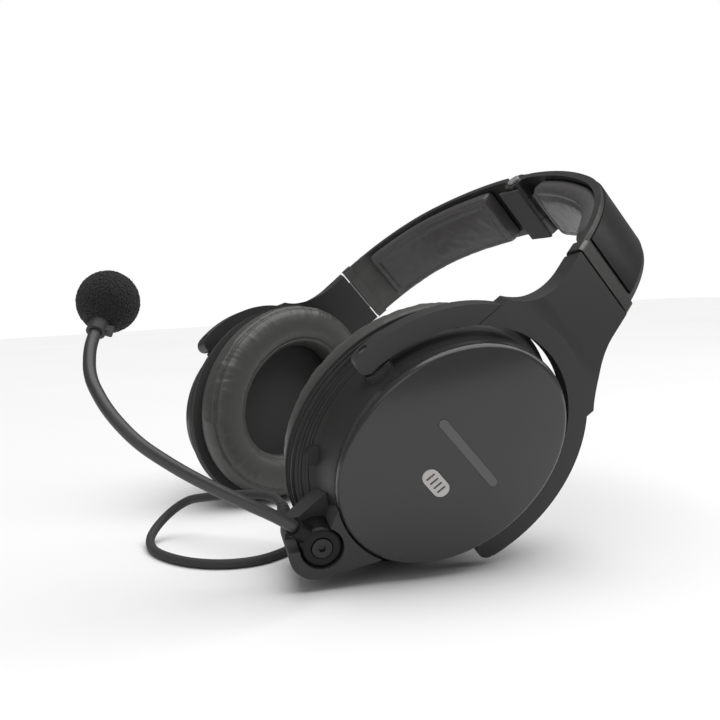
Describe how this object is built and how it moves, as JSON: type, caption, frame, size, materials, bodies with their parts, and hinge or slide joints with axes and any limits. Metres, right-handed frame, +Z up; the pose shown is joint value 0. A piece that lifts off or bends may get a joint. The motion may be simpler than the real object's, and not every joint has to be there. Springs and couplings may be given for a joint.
{
  "type": "aviation headset",
  "caption": "Over-ear aviation headset with a swinging boom microphone, forked yokes, hinged padded headband, and a coiled cable with a control box and twin plugs.",
  "frame": {"origin": "centre of the bounding box of the headset without its cable, on the table that it lies on", "axes": "+X to the wearer's left, +Y away from the microphone, +Z up; the headset leans back 50 degrees on its two ear cups"},
  "size_m": [0.3331, 0.2964, 0.1457],
  "materials": {
    "cushion_leather": "satin",
    "pad_leather": "satin",
    "shell_black": "matte",
    "shell_grey": "satin",
    "cap_gloss": "gloss",
    "pale_plastic": "matte",
    "inlay_dark": "gloss",
    "yoke_black": "satin",
    "satin_aluminium": "satin",
    "steel": "satin",
    "scrim_cloth": "matte",
    "cone_film": "matte",
    "circuit_board": "matte",
    "boom_black": "satin",
    "foam": "matte",
    "cable_rubber": "matte",
    "wheel_rubber": "matte"
  },
  "bodies": {
    "left_cup": {"left_ear_cushion": "cushion_leather", "left_cushion_flange": "shell_black", "left_flange_screws": "steel", "left_scrim": "scrim_cloth", "left_baffle": "shell_black", "left_driver": "steel", "left_driver_cone": "cone_film", "left_anr_board": "circuit_board", "left_housing": "shell_grey", "left_cap": "cap_gloss", "left_vent_grille": "pale_plastic", "left_inlay": "inlay_dark", "mic_pod": "shell_black", "boom_pivot_screw": "steel", "strain_relief": "cable_rubber", "cable_run": "cable_rubber", "cable_coil": "cable_rubber", "control_box": "shell_black", "headphone_lead": "cable_rubber", "mic_lead": "cable_rubber", "headphone_plug": "shell_black", "mic_plug": "shell_black"},
    "left_yoke": {"left_yoke": "yoke_black", "left_pivot_pins": "steel"},
    "left_band": {"left_band_frame": "satin_aluminium", "left_band_cover": "cap_gloss", "left_band_pad": "pad_leather", "left_band_collar": "satin_aluminium", "left_slide_rail": "steel", "hinge_pin": "steel", "hinge_cover": "shell_black"},
    "right_band": {"right_band_frame": "satin_aluminium", "right_band_cover": "cap_gloss", "right_band_pad": "pad_leather", "right_band_collar": "satin_aluminium", "right_slide_rail": "steel", "hinge_spring": "steel"},
    "right_yoke": {"right_yoke": "yoke_black", "right_pivot_pins": "steel"},
    "right_cup": {"right_ear_cushion": "cushion_leather", "right_cushion_flange": "shell_black", "right_flange_screws": "steel", "right_scrim": "scrim_cloth", "right_baffle": "shell_black", "right_driver": "steel", "right_driver_cone": "cone_film", "right_anr_board": "circuit_board", "right_housing": "shell_grey", "right_cap": "cap_gloss", "right_vent_grille": "pale_plastic", "right_inlay": "inlay_dark"},
    "boom": {"boom_knuckle": "shell_grey", "boom_tube": "boom_black"},
    "microphone": {"mic_clip": "pale_plastic", "mic_capsule": "shell_black", "windscreen": "foam"},
    "front_volume_wheel": {"front_volume_wheel": "wheel_rubber"},
    "rear_volume_wheel": {"rear_volume_wheel": "wheel_rubber"},
    "power_button": {"power_button": "pale_plastic"}
  },
  "joints": [
    {"name": "left_cup_tilt", "type": "hinge", "parent": "left_cup", "child": "left_yoke", "pos_m": [0.09, -0.00309, 0.04405], "axis": [0, 0.6428, -0.766], "range_deg": [-8, 8]},
    {"name": "left_size_slide", "type": "slide", "parent": "left_yoke", "child": "left_band", "axis": [-0.2588, 0.7399, 0.6209], "range_m": [0, 0.02]},
    {"name": "crown_hinge", "type": "hinge", "parent": "left_band", "child": "right_band", "pos_m": [0, 0.10071, 0.13115], "axis": [0, 0.6428, -0.766], "range_deg": [0, 25], "stiffness_Nm_per_rad": 1.2},
    {"name": "right_size_slide", "type": "slide", "parent": "right_band", "child": "right_yoke", "axis": [-0.2588, -0.7399, -0.6209], "range_m": [0, 0.02]},
    {"name": "right_cup_tilt", "type": "hinge", "parent": "right_yoke", "child": "right_cup", "pos_m": [-0.09, -0.00309, 0.04405], "axis": [0, 0.6428, -0.766], "range_deg": [-8, 8]},
    {"name": "boom_swing", "type": "hinge", "parent": "left_cup", "child": "boom", "pos_m": [0.08173, -0.04602, 0.01586], "axis": [-0.9563, 0.224, 0.1879], "range_deg": [-15, 40]},
    {"name": "mic_turn", "type": "hinge", "parent": "boom", "child": "microphone", "pos_m": [0.052, -0.10587, 0.09031], "axis": [-0.5821, 0.4386, 0.6847], "range_deg": [-90, 90]},
    {"name": "front_wheel_turn", "type": "hinge", "parent": "left_cup", "child": "front_volume_wheel", "pos_m": [-0.118, 0.1018, 0.01], "axis": [0, 0, 1], "range_deg": [-135, 135]},
    {"name": "rear_wheel_turn", "type": "hinge", "parent": "left_cup", "child": "rear_volume_wheel", "pos_m": [-0.118, 0.1222, 0.01], "axis": [0, 0, 1], "range_deg": [-135, 135]},
    {"name": "button_press", "type": "slide", "parent": "left_cup", "child": "power_button", "axis": [0, 0, -1], "range_m": [0, 0.0008], "stiffness_N_per_m": 600, "springref_m": -0.0004}
  ]
}
